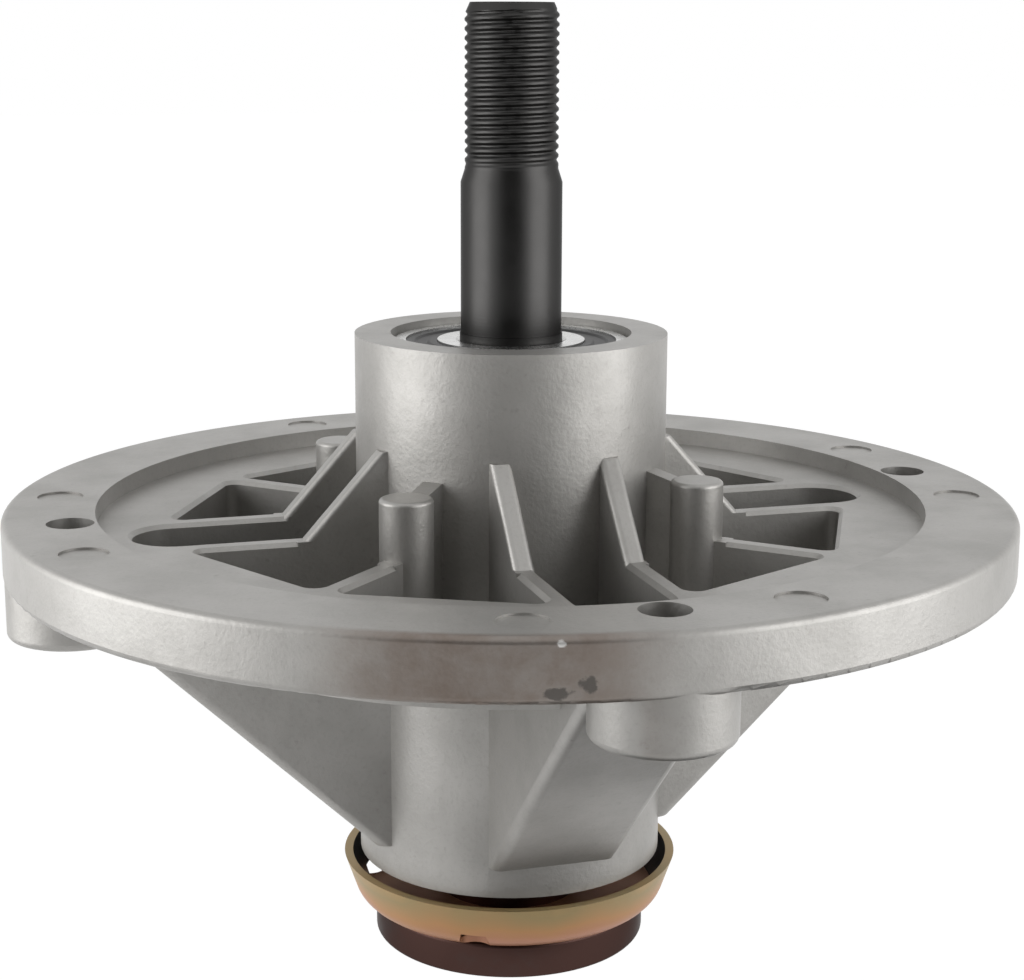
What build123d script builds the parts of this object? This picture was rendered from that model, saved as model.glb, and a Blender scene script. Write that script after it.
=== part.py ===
"""Mower deck spindle assembly.

A die-cast housing carries a steel spindle on two sealed ball bearings. The origin is the centre of
the flange's mounting face, +Z runs up the spindle towards its thread, and the four hollow arms of
the casting lie along X and Y. Sizes are in millimetres.
"""

import os
from math import asin, atan, cos, degrees, radians, sin, sqrt, tan

from build123d import *

os.makedirs("parts", exist_ok=True)

# Sealed deep-groove bearing, the size that sets the scale of everything else
bearing_bore = 20.0
bearing_diameter = 47.0
bearing_width = 14.0
ball_diameter = 7.938
ball_count = 8
ball_clearance = 0.03
race_conformity = 0.52
race_shoulder = 0.30
ring_edge = 0.8
seat_clearance = 0.01

# Bearing cage, two pressed ribbons riveted together
cage_sheet = 0.7
cage_gap = 0.12
cage_width = 3.4
rivet_diameter = 1.2
rivet_head_diameter = 2.0
rivet_head_height = 0.4

# Bearing seals
seal_thickness = 1.7
seal_inset = 0.35
seal_seat_depth = 1.4
seal_lip_clearance = 0.1
seal_groove_width = 3.0
seal_groove_depth = 0.4

# Housing hub
hub_wall = 7.0
hub_above_face = 32.9
hub_below_face = 72.3
hub_top_edge = 1.5
hub_bottom_edge = 0.8
bearing_recess = 1.4
bearing_shoulder = 3.0

# Housing flange, its recessed floor and the drum that holds the pockets
flange_diameter = 197.2
flange_thickness = 11.1
flange_edge = 1.3
mounting_ring_width = 17.6
recess_depth = 3.5
recess_edge = 0.8
drum_wall = 5.0
pocket_floor_thickness = 4.0
pocket_depth = 13.0
pocket_reach = 14.0
pocket_corner = 2.0
rim_chamfer = 0.8

# Four hollow arms, open at the top, with gusset walls that climb to the hub
arm_count = 4
arm_width = 25.0
arm_wall = 4.0
arm_root_height = 6.2
arm_tip_depth = 13.1
arm_floor = 4.0
arm_bottom_edge = 2.0
slot_reach = 6.4
gusset_rise = 12.8
gusset_run = 13.4
gusset_edge = 1.2

# Four single ribs between the arms, each with a round post
rib_thickness = 4.0
rib_rise = 8.5
post_diameter = 10.0
post_gap = 4.5
post_height = 7.5
post_edge = 0.8

# Bolt bosses, bolt holes and shallow round ejector marks
boss_diameter = 25.0
boss_depth = 21.6
boss_edge = 1.5
boss_inset = 0.1
bolt_hole_diameter = 9.0
mark_diameter = 9.0
mark_depth = 0.4
mark_angle = 15.5
mark_outset = 3.0

# Spindle
blade_flange_diameter = 54.8
blade_flange_thickness = 7.3
blade_flange_edge = 1.0
collar_diameter = 28.0
collar_height = 12.4
journal_above_hub = 26.5
pulley_seat_diameter = 19.6
pulley_seat_gap = 0.1
thread_diameter = 18.0
thread_length = 30.3
thread_chamfer_height = 2.2
thread_chamfer_width = 1.0
thread_shoulder_length = 5.8
blade_hole_diameter = 10.8
blade_hole_depth = 32.0
blade_hole_chamfer = 1.0
drill_half_angle = 59.0

# Spacer tube between the inner rings
spacer_wall = 3.0
spacer_clearance = 0.05

# Dust cup, one sheet-metal pressing that turns with the spindle
cup_rim_diameter = 67.6
cup_floor_diameter = 61.0
cup_height = 9.6
cup_sheet = 1.6
cup_corner = 5.0
cup_rim_edge = 0.5
cup_bore_clearance = 0.02
cup_hole_count = 4
cup_hole_diameter = 6.0
cup_hole_inset = 0.6
cup_hole_height = 6.8
cup_hole_angle = 60.6

# Sizes worked out from the ones above
bearing_r = bearing_diameter / 2
ball_r = ball_diameter / 2
pitch_r = (bearing_bore + bearing_diameter) / 4
race_r = race_conformity * ball_diameter
inner_land_r = pitch_r - race_shoulder * ball_diameter
outer_land_r = pitch_r + race_shoulder * ball_diameter
seal_seat_r = outer_land_r + seal_seat_depth
hub_r = bearing_r + hub_wall
upper_bearing_z = hub_above_face - bearing_recess - bearing_width / 2
lower_bearing_z = -hub_below_face + bearing_recess + bearing_width / 2
flange_r = flange_diameter / 2
recess_r = flange_r - mounting_ring_width
pocket_r = recess_r - pocket_reach
drum_r = pocket_r + drum_wall
drum_depth = recess_depth + pocket_depth + pocket_floor_thickness
arm_root_z = -hub_below_face + arm_root_height
slot_width = arm_width - 2 * arm_wall
slot_end_r = recess_r - slot_reach
gusset_knee_r = hub_r + gusset_run
post_r = hub_r + post_gap + post_diameter / 2
bolt_r = flange_r - boss_inset - boss_diameter / 2
arm_slope = degrees(atan((-arm_tip_depth - arm_root_z) / (bolt_r - hub_r)))
mark_r = bolt_r + mark_outset
arm_step = 360 / arm_count
cup_bottom_z = lower_bearing_z - bearing_width / 2 - collar_height
blade_face_z = cup_bottom_z - blade_flange_thickness
pulley_seat_z = hub_above_face + pulley_seat_gap
journal_top_z = hub_above_face + journal_above_hub
thread_start_z = journal_top_z + thread_shoulder_length
spindle_top_z = thread_start_z + thread_length


def arm_bottom(distance):
    """Height of an arm's slanted underside at a distance from the axis."""
    return arm_root_z + (distance - hub_r) * tan(radians(arm_slope))


# Arm below the recessed floor: a solid wedge whose underside slants from the bolt boss to the hub
with BuildPart() as arm:
    with BuildSketch(Plane.XZ):
        with BuildLine():
            Polyline(
                (0, -recess_depth),
                (bolt_r, -recess_depth),
                (bolt_r, arm_bottom(bolt_r)),
                (0, arm_bottom(0)),
                close=True,
            )
        make_face()
    extrude(amount=arm_width / 2, both=True)
    slanted = arm.faces().sort_by(Axis.Z)[0].edges().filter_by(lambda edge: abs(edge.tangent_at(0.5).X) > 0.1)
    fillet(slanted, radius=arm_bottom_edge)
    with Locations((0, 0, arm_root_z)):
        Box(
            2 * hub_r,
            2 * hub_r,
            2 * hub_r,
            align=(Align.CENTER, Align.CENTER, Align.MAX),
            mode=Mode.SUBTRACT,
        )

# Gusset: one arm wall above the floor, rounded along its top
with BuildPart() as gusset:
    with BuildSketch(Plane.XZ):
        with BuildLine():
            Polyline(
                (0, -2 * recess_depth),
                (0, gusset_rise),
                (hub_r - gusset_edge, gusset_rise),
                (gusset_knee_r, -recess_depth),
                (gusset_knee_r, -2 * recess_depth),
                close=True,
            )
        make_face()
    extrude(amount=arm_wall / 2, both=True)
    slope_face = gusset.faces().sort_by(lambda face: face.normal_at().X * face.normal_at().Z)[-1]
    slope_edges = slope_face.edges().filter_by(lambda edge: abs(edge.tangent_at(0.5).Y) < 0.1)
    fillet(slope_edges, radius=gusset_edge)

# Hollow of an arm: rounded at its outer end, with a floor that follows the slanted underside
slot_floor_rise = arm_floor / cos(radians(arm_slope))
slot_end_round = 0.48 * slot_width
with BuildPart() as arm_hollow:
    with BuildSketch(Plane.XZ):
        with BuildLine():
            Polyline(
                (0, hub_above_face),
                (slot_end_r, hub_above_face),
                (slot_end_r, arm_bottom(slot_end_r) + slot_floor_rise),
                (0, arm_bottom(0) + slot_floor_rise),
                close=True,
            )
        make_face()
    extrude(amount=slot_width / 2, both=True)
    end_edges = arm_hollow.edges().filter_by(Axis.Z).group_by(Axis.X)[-1]
    fillet(end_edges, radius=slot_end_round)
    Cylinder(radius=hub_r, height=4 * hub_below_face, mode=Mode.SUBTRACT)

# Funnel that breaks the rim of an arm's hollow
with BuildPart() as hollow_funnel:
    with BuildSketch(Plane.XY.offset(-recess_depth - 2 * rim_chamfer)):
        with Locations((slot_end_r / 2, 0)):
            slot_outline = Rectangle(slot_end_r - 2 * rim_chamfer, slot_width - 2 * rim_chamfer)
        fillet(slot_outline.vertices().group_by(Axis.X)[-1], radius=slot_end_round - rim_chamfer)
    extrude(amount=3 * rim_chamfer, taper=-45)
    Cylinder(radius=gusset_knee_r, height=4 * hub_below_face, mode=Mode.SUBTRACT)

# Pocket on one side of an arm, between the arm's wall, the hub, a single rib and a straight outer wall
half_arm = arm_width / 2
half_rib = rib_thickness / 2
rib_angle = arm_step / 2
rib_corner_angle = radians(rib_angle - degrees(asin(half_rib / pocket_r)))
inner_corner_x = (half_arm * cos(radians(rib_angle)) + half_rib) / sin(radians(rib_angle))
pocket_corners = (
    (inner_corner_x, half_arm),
    (sqrt(pocket_r**2 - half_arm**2), half_arm),
    (pocket_r * cos(rib_corner_angle), pocket_r * sin(rib_corner_angle)),
)
with BuildPart() as pocket:
    with BuildSketch(Plane.XY.offset(-recess_depth - pocket_depth)):
        with BuildLine():
            Polyline(*pocket_corners, close=True)
        make_face()
        Circle(radius=hub_r, mode=Mode.SUBTRACT)
        with PolarLocations(post_r, 1, start_angle=rib_angle):
            Circle(radius=post_diameter / 2, mode=Mode.SUBTRACT)
    extrude(amount=2 * pocket_depth)
    tall_edges = pocket.edges().filter_by(Axis.Z)
    outer_edges = tall_edges.filter_by(lambda edge: edge.center().X > gusset_knee_r)
    fillet(outer_edges, radius=pocket_corner)

# Funnel that breaks the outer rim of a pocket
rim_start_r = post_r + post_diameter / 2 + pocket_corner
with BuildPart() as pocket_funnel:
    with BuildSketch(Plane.XY.offset(-recess_depth - 2 * rim_chamfer)):
        with BuildLine():
            Polyline(*pocket_corners, close=True)
        funnel_face = make_face()
        fillet(funnel_face.vertices().filter_by(lambda corner: corner.X > gusset_knee_r), radius=pocket_corner)
        offset(amount=-rim_chamfer, mode=Mode.REPLACE)
    extrude(amount=3 * rim_chamfer, taper=-45)
    Cylinder(radius=rim_start_r, height=4 * hub_below_face, mode=Mode.SUBTRACT)

# Post and the web that ties it to the hub
with BuildPart() as post:
    with Locations((post_r, 0, post_height)):
        Cylinder(
            radius=post_diameter / 2,
            height=post_height + 2 * recess_depth,
            align=(Align.CENTER, Align.CENTER, Align.MAX),
        )
    post_rim = post.edges().filter_by(GeomType.CIRCLE).group_by(Axis.Z)[-1]
    fillet(post_rim, radius=post_edge)
    with BuildSketch(Plane.XZ):
        with BuildLine():
            Polyline(
                (0, -2 * recess_depth),
                (0, rib_rise),
                (hub_r, rib_rise),
                (post_r, post_height - 2 * post_edge),
                (post_r, -2 * recess_depth),
                close=True,
            )
        make_face()
    extrude(amount=rib_thickness / 2, both=True)

# Bolt boss under the flange
with BuildPart() as boss:
    with Locations((bolt_r, 0, -recess_depth)):
        Cylinder(
            radius=boss_diameter / 2,
            height=boss_depth - recess_depth,
            align=(Align.CENTER, Align.CENTER, Align.MAX),
        )
    boss_rim = boss.edges().filter_by(GeomType.CIRCLE).group_by(Axis.Z)[0]
    fillet(boss_rim, radius=boss_edge)

# Housing: hub, flange and drum in one revolved section, then arms, ribs, hollows, bores and holes
with BuildPart() as housing:
    with BuildSketch(Plane.XZ):
        with BuildLine():
            Polyline(
                (0, -hub_below_face),
                (hub_r, -hub_below_face),
                (hub_r, -drum_depth),
                (drum_r, -drum_depth),
                (drum_r, -flange_thickness),
                (flange_r, -flange_thickness),
                (flange_r, 0),
                (recess_r, 0),
                (recess_r, -recess_depth),
                (hub_r, -recess_depth),
                (hub_r, hub_above_face),
                (0, hub_above_face),
                close=True,
            )
        section = make_face()
        corners = section.vertices()
        fillet(corners.filter_by(lambda corner: abs(corner.X - flange_r) < 0.01), radius=flange_edge)
        fillet(corners.filter_by(lambda corner: abs(corner.X - recess_r) < 0.01), radius=recess_edge)
        hub_corners = corners.filter_by(lambda corner: abs(corner.X - hub_r) < 0.01)
        fillet(hub_corners.sort_by(Axis.Z)[-1], radius=hub_top_edge)
        fillet(hub_corners.sort_by(Axis.Z)[0], radius=hub_bottom_edge)
    revolve(axis=Axis.Z)
    with PolarLocations(0, arm_count):
        add(arm.part)
        add(boss.part)
    with PolarLocations(0, arm_count):
        add(arm_hollow.part, mode=Mode.SUBTRACT)
        add(pocket.part, mode=Mode.SUBTRACT)
        add(mirror(pocket.part, about=Plane.XZ, mode=Mode.PRIVATE), mode=Mode.SUBTRACT)
    with PolarLocations(0, arm_count):
        add(hollow_funnel.part, mode=Mode.SUBTRACT)
        add(pocket_funnel.part, mode=Mode.SUBTRACT)
        add(mirror(pocket_funnel.part, about=Plane.XZ, mode=Mode.PRIVATE), mode=Mode.SUBTRACT)
    with PolarLocations(0, arm_count):
        with Locations((0, (slot_width + arm_wall) / 2, 0), (0, -(slot_width + arm_wall) / 2, 0)):
            add(gusset.part)
    with PolarLocations(0, arm_count, start_angle=rib_angle):
        add(post.part)
    Cylinder(radius=bearing_r - bearing_shoulder, height=4 * hub_below_face, mode=Mode.SUBTRACT)
    for seat_z in (upper_bearing_z, lower_bearing_z):
        outward = 1 if seat_z > 0 else -1
        with Locations((0, 0, seat_z + outward * bearing_recess)):
            Cylinder(
                radius=bearing_r + seat_clearance,
                height=bearing_width + 2 * bearing_recess,
                mode=Mode.SUBTRACT,
            )
    with PolarLocations(bolt_r, arm_count):
        Cylinder(radius=bolt_hole_diameter / 2, height=4 * boss_depth, mode=Mode.SUBTRACT)
    for side_angle in (-mark_angle, mark_angle):
        with PolarLocations(mark_r, arm_count, start_angle=side_angle):
            Cylinder(
                radius=mark_diameter / 2,
                height=mark_depth,
                align=(Align.CENTER, Align.CENTER, Align.MAX),
                mode=Mode.SUBTRACT,
            )

housing.part.label = "spindle_housing"
export_step(housing.part, "parts/spindle_housing.step")

# Spindle: one turned piece with the blade flange at its foot and a blind bolt hole below
with BuildPart() as shaft:
    with BuildSketch(Plane.XZ):
        with BuildLine():
            Polyline(
                (0, blade_face_z),
                (blade_flange_diameter / 2, blade_face_z),
                (blade_flange_diameter / 2, cup_bottom_z),
                (collar_diameter / 2, cup_bottom_z),
                (collar_diameter / 2, lower_bearing_z - bearing_width / 2),
                (bearing_bore / 2, lower_bearing_z - bearing_width / 2),
                (bearing_bore / 2, pulley_seat_z),
                (pulley_seat_diameter / 2, pulley_seat_z),
                (pulley_seat_diameter / 2, journal_top_z),
                (thread_diameter / 2, thread_start_z),
                (thread_diameter / 2, spindle_top_z - thread_chamfer_height),
                (thread_diameter / 2 - thread_chamfer_width, spindle_top_z),
                (0, spindle_top_z),
                close=True,
            )
        turned = make_face()
        foot_corners = turned.vertices().filter_by(lambda corner: corner.X > blade_flange_diameter / 2 - 0.01)
        fillet(foot_corners, radius=blade_flange_edge)
    revolve(axis=Axis.Z)
    with BuildSketch(Plane.XZ):
        with BuildLine():
            Polyline(
                (0, blade_face_z),
                (blade_hole_diameter / 2 + blade_hole_chamfer, blade_face_z),
                (blade_hole_diameter / 2, blade_face_z + blade_hole_chamfer),
                (blade_hole_diameter / 2, blade_face_z + blade_hole_depth),
                (0, blade_face_z + blade_hole_depth + blade_hole_diameter / 2 / tan(radians(drill_half_angle))),
                close=True,
            )
        make_face()
    revolve(axis=Axis.Z, mode=Mode.SUBTRACT)

shaft.part.label = "spindle_shaft"
export_step(shaft.part, "parts/spindle_shaft.step")

# Spacer tube that keeps the two inner rings apart
spacer_bottom_z = lower_bearing_z + bearing_width / 2
spacer_top_z = upper_bearing_z - bearing_width / 2
with BuildPart() as spacer:
    with BuildSketch(Plane.XY.offset(spacer_bottom_z)):
        Circle(radius=bearing_bore / 2 + spacer_wall)
        Circle(radius=bearing_bore / 2 + spacer_clearance, mode=Mode.SUBTRACT)
    extrude(amount=spacer_top_z - spacer_bottom_z)

spacer.part.label = "bearing_spacer"
export_step(spacer.part, "parts/bearing_spacer.step")

# Dust cup: a flared wall on a flat floor, with drain holes at the corner
cup_rim_r = cup_rim_diameter / 2
cup_floor_r = cup_floor_diameter / 2
cup_wall_length = sqrt((cup_rim_r - cup_floor_r) ** 2 + cup_height**2)
cup_wall_shift = cup_sheet * cup_wall_length / cup_height
cup_inner_floor_r = cup_floor_r + cup_sheet * (cup_rim_r - cup_floor_r) / cup_height - cup_wall_shift
with BuildPart() as cup:
    with BuildSketch(Plane.XZ):
        with BuildLine():
            Polyline(
                (collar_diameter / 2 + cup_bore_clearance, cup_bottom_z),
                (cup_floor_r, cup_bottom_z),
                (cup_rim_r, cup_bottom_z + cup_height),
                (cup_rim_r - cup_wall_shift, cup_bottom_z + cup_height),
                (cup_inner_floor_r, cup_bottom_z + cup_sheet),
                (collar_diameter / 2 + cup_bore_clearance, cup_bottom_z + cup_sheet),
                close=True,
            )
        pressing = make_face()
        cup_corners = pressing.vertices()
        fillet(cup_corners.filter_by(lambda corner: corner.X == cup_floor_r), radius=cup_corner)
        inner_corner = cup_corners.filter_by(lambda corner: abs(corner.X - cup_inner_floor_r) < 0.001)
        fillet(inner_corner, radius=cup_corner - cup_sheet)
        rim_corners = cup_corners.filter_by(lambda corner: corner.X > cup_floor_r + 0.001)
        fillet(rim_corners, radius=cup_rim_edge)
    revolve(axis=Axis.Z)
    with PolarLocations(cup_floor_r - cup_hole_inset, cup_hole_count, start_angle=cup_hole_angle):
        with Locations((0, 0, cup_bottom_z)):
            Cylinder(radius=cup_hole_diameter / 2, height=cup_hole_height, mode=Mode.SUBTRACT)

cup.part.label = "dust_cup"
export_step(cup.part, "parts/dust_cup.step")


def build_bearing(name, mid_z):
    """Write the eight pieces of one sealed bearing whose middle plane is at mid_z."""
    mid_plane = Plane(origin=(0, 0, mid_z), x_dir=(1, 0, 0), z_dir=(0, -1, 0))
    half_width = bearing_width / 2
    seal_inner_z = half_width - seal_inset - seal_thickness

    with BuildPart() as outer_ring:
        with BuildSketch(mid_plane):
            with BuildLine():
                Polyline(
                    (outer_land_r, -seal_inner_z),
                    (seal_seat_r, -seal_inner_z),
                    (seal_seat_r, -half_width),
                    (bearing_r - ring_edge, -half_width),
                    (bearing_r, -half_width + ring_edge),
                    (bearing_r, half_width - ring_edge),
                    (bearing_r - ring_edge, half_width),
                    (seal_seat_r, half_width),
                    (seal_seat_r, seal_inner_z),
                    (outer_land_r, seal_inner_z),
                    close=True,
                )
            make_face()
            with Locations((pitch_r + ball_r + ball_clearance - race_r, 0)):
                Circle(radius=race_r, mode=Mode.SUBTRACT)
        revolve(axis=Axis.Z)
    outer_ring.part.label = name + "_outer_ring"
    export_step(outer_ring.part, "parts/" + name + "_outer_ring.step")

    with BuildPart() as inner_ring:
        with BuildSketch(mid_plane):
            with BuildLine():
                Polyline(
                    (bearing_bore / 2 + seat_clearance + ring_edge, -half_width),
                    (inner_land_r, -half_width),
                    (inner_land_r, half_width),
                    (bearing_bore / 2 + seat_clearance + ring_edge, half_width),
                    (bearing_bore / 2 + seat_clearance, half_width - ring_edge),
                    (bearing_bore / 2 + seat_clearance, -half_width + ring_edge),
                    close=True,
                )
            make_face()
            with Locations((pitch_r - ball_r - ball_clearance + race_r, 0)):
                Circle(radius=race_r, mode=Mode.SUBTRACT)
        revolve(axis=Axis.Z)
    inner_ring.part.label = name + "_inner_ring"
    export_step(inner_ring.part, "parts/" + name + "_inner_ring.step")

    with BuildPart() as balls:
        with Locations((0, 0, mid_z)):
            with PolarLocations(pitch_r, ball_count):
                Sphere(radius=ball_r)
    balls.part.label = name + "_balls"
    export_step(balls.part, "parts/" + name + "_balls.step")

    rivet_start = 180 / ball_count
    cage_inner_r = pitch_r - cage_width / 2
    cage_outer_r = pitch_r + cage_width / 2
    for half_name, side in (("upper", 1), ("lower", -1)):
        with BuildPart() as cage_half:
            with Locations((0, 0, mid_z)):
                with PolarLocations(pitch_r, ball_count):
                    Sphere(radius=ball_r + cage_gap + cage_sheet)
            with BuildSketch(Plane.XY.offset(mid_z)):
                Circle(radius=cage_outer_r)
                Circle(radius=cage_inner_r, mode=Mode.SUBTRACT)
            extrude(amount=side * half_width, mode=Mode.INTERSECT)
            with BuildSketch(Plane.XY.offset(mid_z)):
                Circle(radius=cage_outer_r)
                Circle(radius=cage_inner_r, mode=Mode.SUBTRACT)
            extrude(amount=side * cage_sheet)
            with Locations((0, 0, mid_z)):
                with PolarLocations(pitch_r, ball_count):
                    Sphere(radius=ball_r + cage_gap, mode=Mode.SUBTRACT)
                with PolarLocations(pitch_r, ball_count, start_angle=rivet_start):
                    Cylinder(
                        radius=rivet_diameter / 2 + seat_clearance,
                        height=bearing_width,
                        mode=Mode.SUBTRACT,
                    )
        cage_half.part.label = name + "_cage_" + half_name
        export_step(cage_half.part, "parts/" + name + "_cage_" + half_name + ".step")

    with BuildPart() as rivets:
        with Locations((0, 0, mid_z)):
            with PolarLocations(pitch_r, ball_count, start_angle=rivet_start):
                Cylinder(radius=rivet_diameter / 2, height=2 * cage_sheet)
                for head_side in (1, -1):
                    with Locations((0, 0, head_side * (cage_sheet + rivet_head_height / 2))):
                        Cylinder(radius=rivet_head_diameter / 2, height=rivet_head_height)
    rivets.part.label = name + "_cage_rivets"
    export_step(rivets.part, "parts/" + name + "_cage_rivets.step")

    groove_r = (inner_land_r + seal_seat_r) / 2
    for seal_name, side in (("top", 1), ("bottom", -1)):
        seal_outer_z = side * (half_width - seal_inset)
        with BuildPart() as seal:
            with BuildSketch(mid_plane):
                with BuildLine():
                    Polyline(
                        (inner_land_r + seal_lip_clearance, side * seal_inner_z),
                        (seal_seat_r - seat_clearance, side * seal_inner_z),
                        (seal_seat_r - seat_clearance, seal_outer_z),
                        (groove_r + seal_groove_width / 2, seal_outer_z),
                        (groove_r + seal_groove_width / 2 - seal_groove_depth, seal_outer_z - side * seal_groove_depth),
                        (groove_r - seal_groove_width / 2 + seal_groove_depth, seal_outer_z - side * seal_groove_depth),
                        (groove_r - seal_groove_width / 2, seal_outer_z),
                        (inner_land_r + seal_lip_clearance, seal_outer_z),
                        close=True,
                    )
                make_face()
            revolve(axis=Axis.Z)
        seal.part.label = name + "_" + seal_name + "_seal"
        export_step(seal.part, "parts/" + name + "_" + seal_name + "_seal.step")


build_bearing("upper", upper_bearing_z)
build_bearing("lower", lower_bearing_z)
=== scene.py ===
"""Looks of a mower deck spindle assembly, laid out as an add-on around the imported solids.

The bearings and the dust cup keep their solids and get a finish. The casting is a merged copy of its
solid, with the rounding of its rim turned evenly. The spindle is rebuilt as a turned piece with a real
thread. Lengths are in metres, in the same frame as the solids.
"""

import math

import bmesh
import bpy
import mathutils
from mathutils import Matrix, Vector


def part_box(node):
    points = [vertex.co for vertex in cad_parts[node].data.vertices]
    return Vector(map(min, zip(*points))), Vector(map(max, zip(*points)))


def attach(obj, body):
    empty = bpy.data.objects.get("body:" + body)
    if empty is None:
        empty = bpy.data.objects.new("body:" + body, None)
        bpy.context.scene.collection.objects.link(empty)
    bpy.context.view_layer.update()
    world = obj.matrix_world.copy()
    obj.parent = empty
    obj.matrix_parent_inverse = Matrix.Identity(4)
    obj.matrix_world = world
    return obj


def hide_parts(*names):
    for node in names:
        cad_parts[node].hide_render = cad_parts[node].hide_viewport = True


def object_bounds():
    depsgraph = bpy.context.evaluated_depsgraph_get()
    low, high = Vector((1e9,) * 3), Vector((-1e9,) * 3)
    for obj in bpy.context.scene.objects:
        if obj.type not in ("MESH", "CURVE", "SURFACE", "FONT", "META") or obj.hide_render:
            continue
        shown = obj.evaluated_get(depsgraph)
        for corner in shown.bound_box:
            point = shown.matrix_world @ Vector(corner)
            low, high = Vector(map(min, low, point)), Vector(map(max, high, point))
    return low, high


bl_info = {
    "name": "Mower Deck Spindle",
    "version": (1, 0, 0),
    "blender": (4, 5, 0),
    "location": "3D View > Sidebar > Spindle",
    "description": "Finishes, spindle thread and studio for a mower deck spindle assembly",
    "category": "Object",
}

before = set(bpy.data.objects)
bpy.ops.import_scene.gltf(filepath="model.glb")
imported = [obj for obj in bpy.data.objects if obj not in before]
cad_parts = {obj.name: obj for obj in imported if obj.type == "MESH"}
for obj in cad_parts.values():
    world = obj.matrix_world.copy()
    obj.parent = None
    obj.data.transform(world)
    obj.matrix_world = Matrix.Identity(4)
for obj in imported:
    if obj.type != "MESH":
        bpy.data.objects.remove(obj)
cad_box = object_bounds()
FULL_TURN = 2 * math.pi
MM = 0.001
NORMAL_LAYER = "kept_normal"
WELD_GAP = 0.001 * MM
SHARP_ANGLE = math.radians(35)

# The turned spindle and the casting's rim
THREAD_LENGTH = 31.1 * MM
THREAD_ROOT = 0.16
THREAD_CREST = 0.74
DRILL_HALF_ANGLE = math.radians(59)
FOOT_EDGE_STEPS = 5
RIM_SLACK = 0.02 * MM

# Noise in the finishes: scale, detail and roughness
CAST_GRAIN = (1400.0, 2.0, 0.5)
CAST_PORES = (420.0, 4.0, 0.6)
CAST_BLOTCH = (55.0, 4.0, 0.6)
CAST_STREAK = (90.0, 5.0, 0.7)
OXIDE_WEAR = (130.0, 4.0, 0.6)
FILM_DRIFT = (38.0, 3.0, 0.5)
FILM_FINE = (500.0, 3.0, 0.5)
GROUND_SMEAR = (240.0, 3.0, 0.5)
TURNED_SMEAR = (180.0, 3.0, 0.5)
PRESSED_SMEAR = (300.0, 4.0, 0.5)
RUBBER_DUST = (260.0, 4.0, 0.6)
RUBBER_FINE = (1500.0, 2.0, 0.5)

# Tool marks on turned steel, in radians for each metre of height
SPINDLE_RINGS = 9000.0
SPACER_RINGS = 7000.0

# How far each flaw of the cast skin covers it
PORE_SHARE = 0.35
SPECKLE_SHARE = 0.14
STAIN_SHARE = 0.52
STREAK_SHARE = 0.38
NICK_SHARE = 0.85
NICK_RAGGED = 2.2

# The studio
WHITE = (1.0, 1.0, 1.0, 1.0)
FLOOR_WHITE = (0.86, 0.86, 0.86, 1.0)
FLOOR_HALF_WIDTH = 4.0
FLOOR_STRENGTH = 1.06
CARD_BLACK = (0.03, 0.028, 0.026, 1.0)
MATT = 0.9
SENSOR_WIDTH = 36.0
CLIP_START = 0.01

DARK_NICK = (0.1, 0.092, 0.084)
BRIGHT_NICK = (0.85, 0.84, 0.82)

# Nicks in the flange's rim: heading, height, half width, half height and colour
RIM_NICKS = (
    (math.radians(-12.6), -8.9 * MM, 3.0 * MM, 1.2 * MM, DARK_NICK),
    (math.radians(-9.7), -7.8 * MM, 1.8 * MM, 1.4 * MM, DARK_NICK),
    (math.radians(-12.1), -1.0 * MM, 1.1 * MM, 0.7 * MM, BRIGHT_NICK),
)

housing_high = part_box("spindle_housing")[1]
shaft_low, shaft_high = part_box("spindle_shaft")
cup_low, cup_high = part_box("dust_cup")


class Wire:
    """A shader socket that takes part in Python sums, each of which adds a Math node."""

    def __init__(self, bench, socket):
        self.bench = bench
        self.socket = socket

    def sum_with(self, operation, first, second):
        """Join two values by one operation."""
        return self.bench.maths(operation, first, second)

    def __add__(self, other):
        return self.sum_with("ADD", self, other)

    def __radd__(self, other):
        return self.sum_with("ADD", other, self)

    def __sub__(self, other):
        return self.sum_with("SUBTRACT", self, other)

    def __rsub__(self, other):
        return self.sum_with("SUBTRACT", other, self)

    def __mul__(self, other):
        return self.sum_with("MULTIPLY", self, other)

    def __rmul__(self, other):
        return self.sum_with("MULTIPLY", other, self)


class Bench:
    """Makes the nodes of one tree."""

    def __init__(self, tree):
        self.tree = tree

    def node(self, kind, settings, values):
        """Add a node, set its settings, then give its sockets their values or links."""
        made = self.tree.nodes.new(kind)
        for name, value in settings.items():
            if name == "stops":
                self.set_stops(made.color_ramp, value)
            else:
                setattr(made, name, value)
        for name, value in values.items():
            socket = made.inputs[name]
            if isinstance(value, Wire):
                self.tree.links.new(value.socket, socket)
            else:
                socket.default_value = value
        return made

    def set_stops(self, ramp, stops):
        """Give a colour ramp its stops, as pairs of place and colour."""
        while len(ramp.elements) < len(stops):
            ramp.elements.new(1.0)
        for element, (place, colour) in zip(ramp.elements, stops):
            element.position = place
            element.color = (*colour, 1.0)

    def out(self, kind, settings, values, name=0):
        """Add a node and return one of its outputs."""
        return Wire(self, self.node(kind, settings, values).outputs[name])

    def maths(self, operation, *values):
        """Add a Math node and return its result."""
        return self.out("ShaderNodeMath", {"operation": operation}, dict(enumerate(values)))

    def between(self, value, low, high):
        """Map a value smoothly from 0 at low to 1 at high."""
        settings = {"interpolation_type": "SMOOTHSTEP"}
        values = {"Value": value, "From Min": low, "From Max": high}
        return self.out("ShaderNodeMapRange", settings, values)

    def mixed(self, factor, first, second):
        """Mix two colours."""
        values = {0: factor, 6: first, 7: second}
        return self.out("ShaderNodeMix", {"data_type": "RGBA"}, values, 2)


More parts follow.
